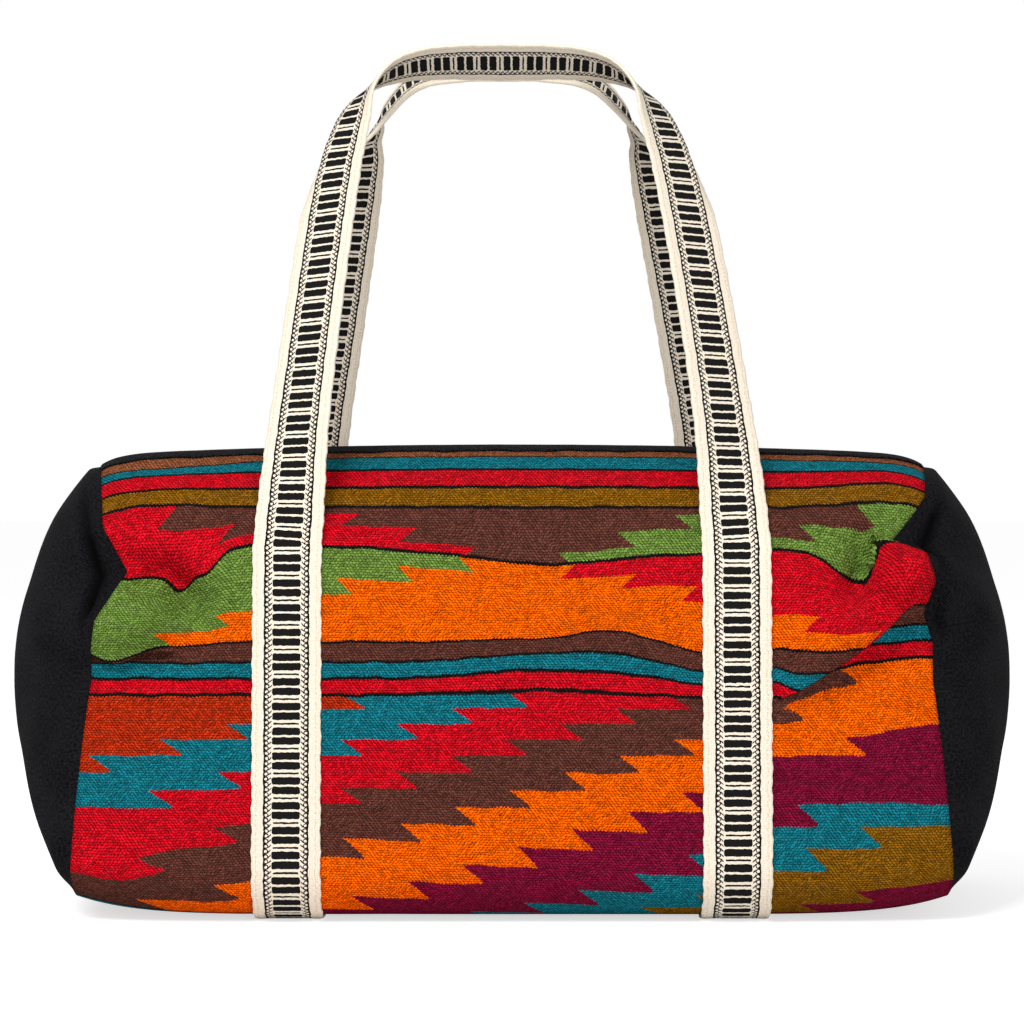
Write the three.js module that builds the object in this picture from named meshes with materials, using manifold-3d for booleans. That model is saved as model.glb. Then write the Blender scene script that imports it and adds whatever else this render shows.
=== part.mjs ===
// A soft duffel bag: one woven cloth wraps the front, base and back, two black canvas
// panels close the ends, black canvas strips and a zip close the top, and two flat
// webbing straps are sewn round the body and rise as the carrying handles.
// Millimetres. +X runs along the bag, +Y to its back, +Z up. The straps rest on Z = 0.

import * as THREE from 'three';
import { mergeVertices } from 'three/addons/utils/BufferGeometryUtils.js';
import loadManifold from 'manifold-3d';

const DEGREE = Math.PI / 180;

// Cloth body
const HALF_LENGTH = 231; // middle of the bag to an end seam, halfway up a wall
const BASE_FLARE = 10; // how much further out an end seam runs at the base
const TOP_FLARE = 3; // and at the top
const HALF_DEPTH = 118; // middle of the bag to the fullest part of a wall
const CREST_HEIGHT = 263; // top of the soft ridge on each side of the zip
const LOWER_RADIUS = 30;
const UPPER_RADIUS = 80;
const WALL_LEAN = 3 * DEGREE;
const CLOTH = 3; // thickness of the woven cloth
const CLOTH_EDGE_DROP = 2.6; // the cloth stops this far below the ridge
const SIDE_TUCK = 10; // walls and base turn in by this much at the end seams
const TOP_SAG = 5.5; // the ridge falls towards the end seams
const TOP_TUCK = 5.5; // and turns down by this much at the seam itself
const SIDE_TUCK_POWER = 8; // how sharply the walls turn in near a seam
const TOP_TUCK_POWER = 24; // how sharply the ridge turns down there
const SEAM_PULL_POWER = 6; // how soon a drawn-in seam lets the cloth lie free

// Canvas panels
const CANVAS = 1.6; // thickness of the black canvas
const END_BULGE = 58; // how far the middle of an end panel stands out from its seam
const END_FULLNESS = 2.2; // power of the bulge: higher is flatter in the middle
const END_RINGS = 5; // rings of points on a panel
const END_RING_POWER = 0.8; // below 1 sets the rings closer together near the rim

// Webbing straps
const STRAP_WIDTH = 38;
const STRAP = 2.2; // thickness of the webbing
const STRAP_X = 122; // middle of the bag to the middle of a strap leg
const HANDLE_RISE = 291; // length of a free handle, from where it leaves the cloth
const HANDLE_SHIFT = -5; // the grips hang a little to one side

// Zip
const ZIP_DEPTH = 14; // the tapes lie this far below the ridge
const TAPE = 1; // thickness of a zip tape
const TAPE_WIDTH = 24;
const TAPE_LAP = 8; // how much of a tape is sewn under its canvas strip
const COIL_WIDTH = 3;
const COIL_HEIGHT = 2;
const COIL_SPLIT = 1.6; // between the two coils, where the slider's post runs
const ZIP_END = 11; // end of the coils to the end seam
const STOP_LENGTH = 4;

// Zip slider and pull
const SLIDER_LENGTH = 11;
const SLIDER_WIDTH = 9;
const SLIDER_PLATE = 1;
const POST_LENGTH = 4;
const BRIDGE_LENGTH = 7;
const BRIDGE_WIDTH = 3;
const BRIDGE_WIRE = 1;
const PULL_WIRE = 1;
const PULL_LENGTH = 20;
const PULL_WIDTH = 7;
const PULL_ARM = 1.5;
const PULL_WINDOW = 5; // length of the window that the bridge passes through

const GAP = 0.3; // between pieces that are sewn or seated against each other
const RUN = 0.35; // between pieces that slide or turn on each other
const FOLD_CLEARANCE = 4; // the cloth lies flat this far beside a sewn strap
const FOLD_FADE = 18; // and reaches its full folds this much further on

// Slack folds of the cloth: the end that each is measured from, the place of its middle,
// the turn of its line, its reach along and across that line, and its height
const FRONT_FOLDS = [
  { end: -1, fromSeam: 36, below: 78, turn: -24, along: 34, across: 13, height: -15 },
  { end: -1, fromSeam: 12, below: 98, turn: 12, along: 34, across: 15, height: 9 },
  { end: -1, fromSeam: 76, below: 76, turn: 40, along: 34, across: 16, height: 5 },
  { end: -1, fromSeam: 28, below: 118, turn: 8, along: 34, across: 11, height: -6 },
  { end: 1, fromSeam: 14, below: 77, turn: 40, along: 24, across: 17, height: 9 },
  { end: 1, fromSeam: 31, below: 61, turn: 52, along: 26, across: 14, height: -8 },
  { end: 1, fromSeam: 46, below: 99, turn: 38, along: 44, across: 15, height: 7 },
  { end: 1, fromSeam: 36, below: 120, turn: 38, along: 44, across: 13, height: -7 },
  { end: 1, fromSeam: 178, below: 86, turn: 20, along: 52, across: 26, height: 4 },
];
const BACK_FOLDS = [
  { end: -1, fromSeam: 30, below: 92, turn: 20, along: 40, across: 16, height: -8 },
  { end: -1, fromSeam: 34, below: 122, turn: 14, along: 44, across: 18, height: 5 },
  { end: 1, fromSeam: 32, below: 84, turn: -28, along: 40, across: 15, height: -9 },
  { end: 1, fromSeam: 28, below: 112, turn: -18, along: 42, across: 18, height: 6 },
  { end: 1, fromSeam: 210, below: 96, turn: -8, along: 56, across: 24, height: 4 },
];
// Where an end seam of the front is drawn in: its height below the ridge, how far up and
// down the seam the pull is felt, and the pull
const SEAM_PULLS = [
  { end: -1, below: 70, up: 34, down: 30, pull: 24 },
  { end: 1, below: 50, up: 19, down: 12, pull: 24 },
  { end: 1, below: 93, up: 12, down: 12, pull: 5 },
];

// One half of a handle from the cloth to the middle of the grip: the share of the leg
// spacing, the share of the rise, and the twist of the webbing in quarter turns. The back
// handle hangs a little narrower than the front one.
const FRONT_HANDLE = [
  [1.0, 0.0, 0],
  [0.955, 0.25, 0.26],
  [0.805, 0.74, 0.37],
  [0.73, 0.85, 0.52],
  [0.61, 0.95, 0.71],
  [0.575, 0.955, 0.81],
  [0.44, 0.99, 0.98],
  [0.0, 1.0, 1.06],
];
const BACK_HANDLE = [
  [1.0, 0.0, 0],
  [0.97, 0.21, 0.16],
  [0.85, 0.49, 0.33],
  [0.71, 0.72, 0.59],
  [0.6, 0.88, 0.89],
  [0.4, 0.98, 1.02],
  [0.19, 1.0, 1.06],
  [0.0, 1.0, 1.07],
];

// Heights and places that follow from the driving dimensions
const clothFloor = STRAP + GAP;
const lowerArc = { depth: HALF_DEPTH - LOWER_RADIUS, height: clothFloor + LOWER_RADIUS };
const upperHeight = CREST_HEIGHT - UPPER_RADIUS;
const arcRise = (lowerArc.height - upperHeight) * Math.sin(WALL_LEAN);
const upperArc = {
  depth: lowerArc.depth + (LOWER_RADIUS - UPPER_RADIUS + arcRise) / Math.cos(WALL_LEAN),
  height: upperHeight,
};
const clothEdgeAngle = Math.asin(1 - CLOTH_EDGE_DROP / UPPER_RADIUS);
const middleHeight = (clothFloor + CREST_HEIGHT) / 2;
const tapeTop = CREST_HEIGHT - ZIP_DEPTH + TAPE / 2;
const valleyHeight = tapeTop + GAP + CANVAS;
const coilTop = tapeTop + GAP + COIL_HEIGHT;
const coilHalf = HALF_LENGTH + TOP_FLARE - ZIP_END;
const strapEdges = [STRAP_X - STRAP_WIDTH / 2, STRAP_X + STRAP_WIDTH / 2];
const tapeEdge = COIL_SPLIT / 2 + TAPE_WIDTH;
const lapDepths = [tapeEdge - TAPE_LAP, tapeEdge];

const smooth = (t) => {
  const held = Math.min(1, Math.max(0, t));
  return held * held * (3 - 2 * held);
};

// The half section from the zip to the middle of the base. Each station has its depth
// from the middle plane, its height, its outward normal, and how far it sinks to the zip.
function arcStations(arc, radius, from, to, steps) {
  return Array.from({ length: steps + 1 }, (_, step) => {
    const angle = from + ((to - from) * step) / steps;
    const normal = [Math.cos(angle), Math.sin(angle)];
    const depth = arc.depth + radius * normal[0];
    return { depth, height: arc.height + radius * normal[1], normal, sink: 0 };
  });
}

function lineStations(from, to, steps) {
  return Array.from({ length: steps - 1 }, (_, index) => {
    const share = (index + 1) / steps;
    const depth = from.depth + (to.depth - from.depth) * share;
    const height = from.height + (to.height - from.height) * share;
    return { depth, height, normal: from.normal, sink: 0 };
  });
}

function lowerStations() {
  return arcStations(lowerArc, LOWER_RADIUS, WALL_LEAN, -Math.PI / 2, 6);
}

function clothStations(shoulderSteps, wallSteps) {
  const top = arcStations(upperArc, UPPER_RADIUS, clothEdgeAngle, WALL_LEAN, shoulderSteps);
  const bottom = lowerStations();
  const wall = lineStations(top[top.length - 1], bottom[0], wallSteps);
  return [...top, ...wall, ...bottom];
}

// The canvas beside the zip: over the ridge, then down into the valley of the zip
function valleyStation(depth) {
  const sink = 1 - smooth((depth - SLIDER_WIDTH) / (upperArc.depth - SLIDER_WIDTH));
  return { depth, height: CREST_HEIGHT, normal: [0, 1], sink };
}

function ridgeStations() {
  return arcStations(upperArc, UPPER_RADIUS, Math.PI / 2, clothEdgeAngle, 2);
}

// A point of the outer skin at a share of the half length (-1 to 1), on the front (-1) or
// the back (1), moved out along the section by lift
function halfLengthAt(height) {
  const offset = (height - middleHeight) / (CREST_HEIGHT - middleHeight);
  const flare = offset > 0 ? TOP_FLARE : BASE_FLARE;
  return HALF_LENGTH + flare * Math.min(1, offset * offset);
}

function seamPull(share, side, height) {
  if (side > 0) return 0;
  let pull = 0;
  for (const spot of SEAM_PULLS) {
    const above = height - (CREST_HEIGHT - spot.below);
    const reach = above / (above > 0 ? spot.up : spot.down);
    if (spot.end * share > 0) pull += spot.end * spot.pull * Math.exp(-reach * reach);
  }
  return pull * Math.abs(share) ** SEAM_PULL_POWER;
}

function foldHeight(share, side, height) {
  const x = share * HALF_LENGTH;
  const besideStrap = Math.abs(Math.abs(x) - STRAP_X) - STRAP_WIDTH / 2 - FOLD_CLEARANCE;
  const freeCloth = smooth(besideStrap / FOLD_FADE);
  let lift = 0;
  for (const fold of side < 0 ? FRONT_FOLDS : BACK_FOLDS) {
    const dx = x - fold.end * (HALF_LENGTH - fold.fromSeam);
    const dz = height - (CREST_HEIGHT - fold.below);
    const cosine = Math.cos(fold.turn * DEGREE);
    const sine = Math.sin(fold.turn * DEGREE);
    const along = (dx * cosine + dz * sine) / fold.along;
    const across = (dz * cosine - dx * sine) / fold.across;
    lift += fold.height * Math.exp(-along * along - across * across);
  }
  return lift * freeCloth;
}

function skin(share, station, side, lift = 0) {
  const { depth, height, normal, sink } = station;
  const reach = Math.abs(share);
  const topward = smooth(normal[1]);
  const topDrop = TOP_SAG * reach ** 2 + TOP_TUCK * reach ** TOP_TUCK_POWER;
  const sideDrop = SIDE_TUCK * reach ** SIDE_TUCK_POWER;
  const tuck = topDrop * topward + sideDrop * (1 - topward);
  const wallward = smooth(normal[0]);
  const out = lift - tuck + foldHeight(share, side, height) * wallward;
  const ridge = height + normal[1] * out;
  const x = share * halfLengthAt(height) - seamPull(share, side, height) * wallward;
  const y = side * (depth + normal[0] * out);
  return new THREE.Vector3(x, y, ridge + (valleyHeight + lift - ridge) * sink);
}

// Closed meshes
function closedMesh(points, triangles) {
  let volume = 0;
  for (let index = 0; index < triangles.length; index += 3) {
    const [a, b, c] = triangles.slice(index, index + 3).map((corner) => points[corner]);
    volume += a.dot(b.clone().cross(c));
  }
  const facingOut = volume > 0 ? triangles : [...triangles].reverse();
  const geometry = new THREE.BufferGeometry().setFromPoints(points);
  geometry.setIndex(facingOut);
  return geometry;
}

// A sheet with thickness: two grids of points joined along their four edges
function sheetMesh(rows, columns, outerAt, innerAt) {
  const points = [];
  for (const faceAt of [outerAt, innerAt]) {
    for (let row = 0; row < rows; row += 1) {
      for (let column = 0; column < columns; column += 1) points.push(faceAt(row, column));
    }
  }
  const outer = (row, column) => row * columns + column;
  const inner = (row, column) => (rows + row) * columns + column;
  const triangles = [];
  const quad = (a, b, c, d) => triangles.push(a, b, c, a, c, d);
  for (let row = 0; row < rows - 1; row += 1) {
    const last = columns - 1;
    for (let column = 0; column < last; column += 1) {
      const next = column + 1;
      quad(outer(row, column), outer(row, next), outer(row + 1, next), outer(row + 1, column));
      quad(inner(row, column), inner(row + 1, column), inner(row + 1, next), inner(row, next));
    }
    quad(outer(row, 0), outer(row + 1, 0), inner(row + 1, 0), inner(row, 0));
    quad(outer(row + 1, last), outer(row, last), inner(row, last), inner(row + 1, last));
  }
  for (let column = 0; column < columns - 1; column += 1) {
    const next = column + 1;
    const last = rows - 1;
    quad(outer(0, next), outer(0, column), inner(0, column), inner(0, next));
    quad(outer(last, column), outer(last, next), inner(last, next), inner(last, column));
  }
  return closedMesh(points, triangles);
}

// Shares of the half length where the cloth has a line of points: close together at the
// end seams, where it is folded, and one on each edge of the sewn straps
function lengthShares() {
  const toShare = (x) => x / HALF_LENGTH;
  const [inner, outer] = strapEdges.map(toShare);
  const steps = (from, to, count) =>
    Array.from({ length: count }, (_, step) => from + ((to - from) * step) / count);
  const half = [...steps(0, inner, 4), ...steps(inner, outer, 1), ...steps(outer, 1, 10), 1];
  return [...half.slice(1).reverse().map((share) => -share), ...half];
}
const shares = lengthShares();

// Woven wrap, with more lines of points on the front, which is folded deeper
const clothRound = [
  ...clothStations(9, 11).map((station) => ({ station, side: -1 })),
  ...clothStations(7, 8).reverse().map((station) => ({ station, side: 1 })),
];

function wovenWrap() {
  const pointAt = (lift) => (row, column) => {
    const { station, side } = clothRound[row];
    return skin(shares[column], station, side, lift);
  };
  return sheetMesh(clothRound.length, shares.length, pointAt(0), pointAt(-CLOTH));
}

// Canvas strips over the ridges and zip tapes under their inner edges
function topStrip(side) {
  const seamAngle = clothEdgeAngle + GAP / UPPER_RADIUS;
  const ridge = arcStations(upperArc, UPPER_RADIUS, Math.PI / 2, seamAngle, 2);
  const stations = [...lapDepths.map(valleyStation), ...ridge];
  const pointAt = (lift) => (row, column) => skin(shares[column], stations[row], side, lift);
  return sheetMesh(stations.length, shares.length, pointAt(0), pointAt(-CANVAS));
}

function zipTape(side) {
  const stations = [COIL_SPLIT / 2, SLIDER_WIDTH, ...lapDepths].map(valleyStation);
  const under = -CANVAS - GAP;
  const pointAt = (lift) => (row, column) => skin(shares[column], stations[row], side, lift);
  return sheetMesh(stations.length, shares.length, pointAt(under), pointAt(under - TAPE));
}

// End panels: the rim follows the seam all the way round, and the canvas bulges from it,
// rounder and rounder towards the middle
function endPanel(end) {
  const ridge = ridgeStations();
  const rim = [
    ...ridge.slice(0, -1).map((station) => ({ station, side: -1 })),
    ...clothRound,
    ...ridge.slice(0, -1).reverse().map((station) => ({ station, side: 1 })),
  ];
  const points = [];
  for (const lift of [0, -CANVAS]) {
    const pole = new THREE.Vector3(end * (HALF_LENGTH + END_BULGE + lift), 0, middleHeight);
    points.push(pole);
    for (let ring = 1; ring <= END_RINGS; ring += 1) {
      const spread = (ring / END_RINGS) ** END_RING_POWER;
      for (const { station, side } of rim) {
        const seam = skin(end, station, side, lift);
        seam.x += end * GAP;
        const rimReach = Math.hypot(seam.y, seam.z - pole.z);
        const roundness = 1 - spread ** 2;
        const stretch = spread * (1 + (HALF_DEPTH / rimReach - 1) * roundness);
        const x = pole.x + (seam.x - pole.x) * spread ** END_FULLNESS;
        const z = pole.z + (seam.z - pole.z) * stretch;
        points.push(new THREE.Vector3(x, seam.y * stretch, z));
      }
    }
  }
  const triangles = [];
  const quad = (a, b, c, d) => triangles.push(a, b, c, a, c, d);
  const faceStart = 1 + END_RINGS * rim.length;
  const corner = (face, ring, step) => {
    if (ring === 0) return face * faceStart;
    return face * faceStart + 1 + (ring - 1) * rim.length + (step % rim.length);
  };
  for (let step = 0; step < rim.length; step += 1) {
    triangles.push(corner(0, 0, 0), corner(0, 1, step), corner(0, 1, step + 1));
    triangles.push(corner(1, 0, 0), corner(1, 1, step + 1), corner(1, 1, step));
    for (let ring = 1; ring < END_RINGS; ring += 1) {
      const [a, b] = [corner(0, ring, step), corner(0, ring, step + 1)];
      quad(a, corner(0, ring + 1, step), corner(0, ring + 1, step + 1), b);
      const [c, d] = [corner(1, ring, step), corner(1, ring, step + 1)];
      quad(d, corner(1, ring + 1, step + 1), corner(1, ring + 1, step), c);
    }
    const [outerA, outerB] = [corner(0, END_RINGS, step), corner(0, END_RINGS, step + 1)];
    quad(outerA, corner(1, END_RINGS, step), corner(1, END_RINGS, step + 1), outerB);
  }
  return closedMesh(points, triangles);
}

// Straps: flat on the cloth from the base to the shoulder, then free, leaning in so that
// the two grips meet over the zip, and twisting until the grip lies flat in the hand
function handleLean() {
  let low = 0;
  let high = 60 * DEGREE;
  for (let round = 0; round < 40; round += 1) {
    const lean = (low + high) / 2;
    const start = upperArc.depth + (UPPER_RADIUS + GAP) * Math.cos(lean);
    const reach = (STRAP_WIDTH / 2) * Math.cos(lean) + STRAP * Math.sin(lean) + GAP;
    if (start - HANDLE_RISE * Math.sin(lean) > reach) low = lean;
    else high = lean;
  }
  return low;
}

function strapLeg(side, leg, lean) {
  const shoulder = arcStations(upperArc, UPPER_RADIUS, WALL_LEAN, lean, 2);
  const baseEnd = { depth: GAP / 2, height: clothFloor, normal: [0, -1] };
  const sewn = [baseEnd, ...lowerStations().reverse(), ...shoulder];
  return sewn.map(({ depth, height, normal }) => {
    const x = (leg * STRAP_X * halfLengthAt(height)) / HALF_LENGTH;
    const outward = new THREE.Vector3(0, side * normal[0], normal[1]);
    const middle = new THREE.Vector3(x, side * depth, height).addScaledVector(outward, GAP);
    return { middle, outward, across: new THREE.Vector3(-leg, 0, 0) };
  });
}

function freeHandle(side, lean) {
  const up = new THREE.Vector3(0, -side * Math.sin(lean), Math.cos(lean));
  const front = new THREE.Vector3(0, side * Math.cos(lean), Math.sin(lean));
  const shoulder = arcStations(upperArc, UPPER_RADIUS + GAP, lean, lean, 1)[0];
  const startX = (STRAP_X * halfLengthAt(shoulder.height)) / HALF_LENGTH;
  const shape = side < 0 ? FRONT_HANDLE : BACK_HANDLE;
  const half = shape.map(([x, rise, twist]) => new THREE.Vector3(-x, rise, twist));
  const mirrored = half.slice(0, -1).reverse().map((key) => {
    return new THREE.Vector3(-key.x, key.y, key.z);
  });
  const route = new THREE.CatmullRomCurve3([...half, ...mirrored], false, 'centripetal');
  const place = (key) => {
    const sway = HANDLE_SHIFT * key.y * key.y;
    const point = new THREE.Vector3(key.x * startX + sway, side * shoulder.depth, shoulder.height);
    return point.addScaledVector(up, key.y * HANDLE_RISE);
  };
  const steps = 44;
  const nudge = 0.002;
  return Array.from({ length: steps - 1 }, (_, index) => {
    const share = (index + 1) / steps;
    const key = route.getPoint(share);
    const tangent = place(route.getPoint(share + nudge)).sub(place(route.getPoint(share - nudge)));
    tangent.normalize();
    const inward = new THREE.Vector3().crossVectors(tangent, front).multiplyScalar(-side);
    const twist = (key.z * Math.PI) / 2;
    const across = inward.multiplyScalar(Math.cos(twist));
    across.addScaledVector(front, Math.sin(twist)).normalize();
    const outward = new THREE.Vector3().crossVectors(across, tangent).multiplyScalar(-side);
    return { middle: place(key), outward, across };
  });
}

function strap(side) {
  const lean = handleLean();
  const left = strapLeg(side, -1, lean);
  const right = strapLeg(side, 1, lean).reverse();
  const stations = [...left, ...freeHandle(side, lean), ...right];
  const pointAt = (lift) => (row, column) => {
    const { middle, outward, across } = stations[row];
    const half = (column - 0.5) * STRAP_WIDTH;
    return middle.clone().addScaledVector(across, half).addScaledVector(outward, lift);
  };
  return sheetMesh(stations.length, 2, pointAt(STRAP), pointAt(0));
}

// Zip coils, end stops, slider and pull
function bar(length, width, height, chamfer) {
  const [y, z] = [width / 2, height / 2];
  const outline = new THREE.Shape([
    new THREE.Vector2(-y + chamfer, -z),
    new THREE.Vector2(y - chamfer, -z),
    new THREE.Vector2(y, -z + chamfer),
    new THREE.Vector2(y, z - chamfer),
    new THREE.Vector2(y - chamfer, z),
    new THREE.Vector2(-y + chamfer, z),
    new THREE.Vector2(-y, z - chamfer),
    new THREE.Vector2(-y, -z + chamfer),
  ]);
  const solid = new THREE.ExtrudeGeometry(outline, { depth: length, bevelEnabled: false });
  solid.translate(0, 0, -length / 2);
  return solid.rotateZ(Math.PI / 2).rotateY(Math.PI / 2);
}

function zipCoil() {
  return bar(2 * coilHalf, COIL_WIDTH, COIL_HEIGHT, COIL_HEIGHT / 4);
}

function zipStop() {
  return bar(STOP_LENGTH, COIL_SPLIT + 2 * COIL_WIDTH, COIL_HEIGHT, COIL_HEIGHT / 4);
}

// The slider: two plates, the post between them that runs in the split of the coils, and
// the bridge on top that holds the pull. Heights are those of the finished bag.
const plateTop = coilTop + RUN + SLIDER_PLATE;
const plateBottom = tapeTop - TAPE - RUN - SLIDER_PLATE;
const wireReach = PULL_WIRE * Math.SQRT1_2;
const pinHeight = plateTop + RUN + wireReach;
const bridgeTop = pinHeight + wireReach + RUN + BRIDGE_WIRE;
const sliderX = coilHalf - SLIDER_LENGTH / 2 - RUN;

const manifold = await loadManifold();
manifold.setup();

function toSolid(geometry) {
  geometry.deleteAttribute('normal');
  geometry.deleteAttribute('uv');
  const merged = mergeVertices(geometry);
  const vertProperties = new Float32Array(merged.attributes.position.array);
  const triVerts = new Uint32Array(merged.index.array);
  return new manifold.Manifold(new manifold.Mesh({ numProp: 3, vertProperties, triVerts }));
}

function joined(geometries) {
  const mesh = geometries.map(toSolid).reduce((whole, solid) => whole.add(solid)).getMesh();
  const geometry = new THREE.BufferGeometry();
  geometry.setAttribute('position', new THREE.BufferAttribute(mesh.vertProperties, 3));
  geometry.setIndex(new THREE.BufferAttribute(mesh.triVerts, 1));
  return geometry;
}

function block(length, width, low, high) {
  const solid = new THREE.BoxGeometry(length, width, high - low);
  return solid.translate(0, 0, (low + high) / 2);
}

function sliderPlate(low) {
  const [nose, tail] = [SLIDER_LENGTH / 2, -SLIDER_LENGTH / 2];
  const half = SLIDER_WIDTH / 2;
  const tailHalf = COIL_SPLIT / 2 + COIL_WIDTH - RUN;
  const outline = new THREE.Shape();
  outline.moveTo(tail, -tailHalf);
  outline.quadraticCurveTo(0, -half, nose - half / 2, -half);
  outline.quadraticCurveTo(nose, -half, nose, 0);
  outline.quadraticCurveTo(nose, half, nose - half / 2, half);
  outline.quadraticCurveTo(0, half, tail, tailHalf);
  const options = { depth: SLIDER_PLATE, bevelEnabled: false, curveSegments: 5 };
  return new THREE.ExtrudeGeometry(outline, options).translate(0, 0, low);
}

function zipSlider() {
  const legX = (BRIDGE_LENGTH - BRIDGE_WIRE) / 2;
  const leg = () => block(BRIDGE_WIRE, BRIDGE_WIDTH, plateTop - SLIDER_PLATE / 2, bridgeTop);
  return joined([
    sliderPlate(plateTop - SLIDER_PLATE),
    sliderPlate(plateBottom),
    block(POST_LENGTH, COIL_SPLIT - 2 * RUN, plateBottom, plateTop),
    leg().translate(legX, 0, 0),
    leg().translate(-legX, 0, 0),
    block(BRIDGE_LENGTH, BRIDGE_WIDTH, bridgeTop - BRIDGE_WIRE, bridgeTop),
  ]);
}

// The pull lies back along the zip; its cross wire, under the bridge, is at its origin
function zipPull() {
  const half = PULL_WIDTH / 2;
  const tip = PULL_WIRE / 2 - PULL_LENGTH;
  const outline = new THREE.Shape();
  outline.moveTo(PULL_WIRE / 2, -half);
  outline.lineTo(PULL_WIRE / 2, half);
  outline.lineTo(tip + half, half);
  outline.absarc(tip + half, 0, half, Math.PI / 2, (3 * Math.PI) / 2, false);
  const window = new THREE.Path();
  const [near, far] = [-PULL_WIRE / 2, -PULL_WIRE / 2 - PULL_WINDOW];
  const inside = half - PULL_ARM;
  window.moveTo(near, -inside);
  window.lineTo(far, -inside);
  window.lineTo(far, inside);
  window.lineTo(near, inside);
  outline.holes.push(window);
  const options = { depth: PULL_WIRE, bevelEnabled: false, curveSegments: 8 };
  return new THREE.ExtrudeGeometry(outline, options).translate(0, 0, -PULL_WIRE / 2);
}

// Materials and the finished bag
const finish = (color, roughness, metalness = 0) => ({ color, roughness, metalness });
const WOVEN = finish(0x9a3a22, 0.95);
const CANVAS_BLACK = finish(0x19191b, 0.92);
const WEBBING = finish(0xe9dfca, 0.9);
const TAPE_BLACK = finish(0x141416, 0.85);
const COIL_BLACK = finish(0x101012, 0.5);
const METAL = finish(0x8d8f92, 0.35, 1);

const bag = new THREE.Group();

function place(name, geometry, look, x = 0, y = 0, z = 0) {
  const mesh = new THREE.Mesh(geometry, new THREE.MeshStandardMaterial(look));
  mesh.name = name;
  mesh.position.set(x, y, z);
  bag.add(mesh);
}

place('woven_wrap', wovenWrap(), WOVEN);
place('left_end_panel', endPanel(-1), CANVAS_BLACK);
place('right_end_panel', endPanel(1), CANVAS_BLACK);
const coilY = (COIL_SPLIT + COIL_WIDTH) / 2;
const coilZ = coilTop - COIL_HEIGHT / 2;
for (const [sideName, side] of [['front', -1], ['back', 1]]) {
  place(`${sideName}_strap`, strap(side), WEBBING);
  place(`${sideName}_top_strip`, topStrip(side), CANVAS_BLACK);
  place(`${sideName}_zip_tape`, zipTape(side), TAPE_BLACK);
  place(`${sideName}_zip_coil`, zipCoil(), COIL_BLACK, 0, side * coilY, coilZ);
}
const stopX = coilHalf + GAP + STOP_LENGTH / 2;
place('left_zip_stop', zipStop(), METAL, -stopX, 0, coilZ);
place('right_zip_stop', zipStop(), METAL, stopX, 0, coilZ);
place('zip_slider', zipSlider(), METAL, sliderX, 0, 0);
place('zip_pull', zipPull(), METAL, sliderX, 0, pinHeight);

export default bag;
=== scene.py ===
# %% [markdown]
# # A woven duffel bag
# The real bag is a soft tube: one thick woven cloth runs from the zip down the front, under the base
# and up the back. Black canvas closes the two ends and edges the zip, and two webbing straps are sewn
# round the body and rise as handles. The hard work is in the cloth, which is slack and folded at both
# ends, so most of this lesson is about one surface formula and the pattern painted on it.

# %% Load the packed model
import math

import bpy
import numpy as np
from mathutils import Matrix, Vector


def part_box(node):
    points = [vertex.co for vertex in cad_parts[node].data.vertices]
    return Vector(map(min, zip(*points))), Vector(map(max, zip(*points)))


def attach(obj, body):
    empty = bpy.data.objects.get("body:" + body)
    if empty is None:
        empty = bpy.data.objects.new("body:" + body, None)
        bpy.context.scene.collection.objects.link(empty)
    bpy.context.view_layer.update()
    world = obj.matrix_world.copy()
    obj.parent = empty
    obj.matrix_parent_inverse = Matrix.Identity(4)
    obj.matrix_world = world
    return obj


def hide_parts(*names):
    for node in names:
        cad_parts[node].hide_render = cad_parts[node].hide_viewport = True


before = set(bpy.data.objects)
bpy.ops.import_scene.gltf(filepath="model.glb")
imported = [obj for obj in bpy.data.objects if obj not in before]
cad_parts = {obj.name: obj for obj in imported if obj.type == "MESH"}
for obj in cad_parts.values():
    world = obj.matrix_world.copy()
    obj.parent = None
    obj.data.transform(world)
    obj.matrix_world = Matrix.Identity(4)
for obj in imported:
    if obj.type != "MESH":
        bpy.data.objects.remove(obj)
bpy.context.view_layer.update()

# %% [markdown]
# ## The camera
# The bag was photographed from straight ahead, at about half its height, through a long lens. A level
# camera keeps its upright lines upright. It could be aimed with a constraint, but a plain place and a
# quarter turn say the same thing with nothing to undo later.

# %% Camera
MM = 0.001
CAMERA_BACK = 1618
CAMERA_HEIGHT = 225
SENSOR = 36
LENS = 97.1
scene = bpy.context.scene
camera = bpy.data.objects.new("camera", bpy.data.cameras.new("camera"))
scene.collection.objects.link(camera)
camera.location = (0, -CAMERA_BACK * MM, CAMERA_HEIGHT * MM)
camera.rotation_euler = (math.radians(90), 0, 0)
camera.data.sensor_width = SENSOR
camera.data.lens = LENS
scene.camera = camera
print("camera", round(camera.data.angle * 180 / math.pi, 2), "degrees wide")

# %% [markdown]
# ## Formulas in nodes
# Every finish below is a formula of the place on the cloth: which stripe, which stitch, how far from a
# strap's edge. Math nodes can be wired by hand, but a formula with forty of them is hard to read. A small
# class lets Python's own + - * / make the nodes, so the script reads as the formula does.

# %% A wire that can be added and multiplied
def plug(tree, value, socket):
    """Links a wire to a socket, or writes a plain number or colour on it."""
    if isinstance(value, Wire):
        tree.links.new(value.socket, socket)
    else:
        socket.default_value = value


def add_node(tree, kind, **inputs):
    """A new node, with a wire, a number or a colour on each input that is named."""
    node = tree.nodes.new("ShaderNode" + kind)
    for name, value in inputs.items():
        plug(tree, value, node.inputs[name.replace("_", " ")])
    return node


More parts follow.
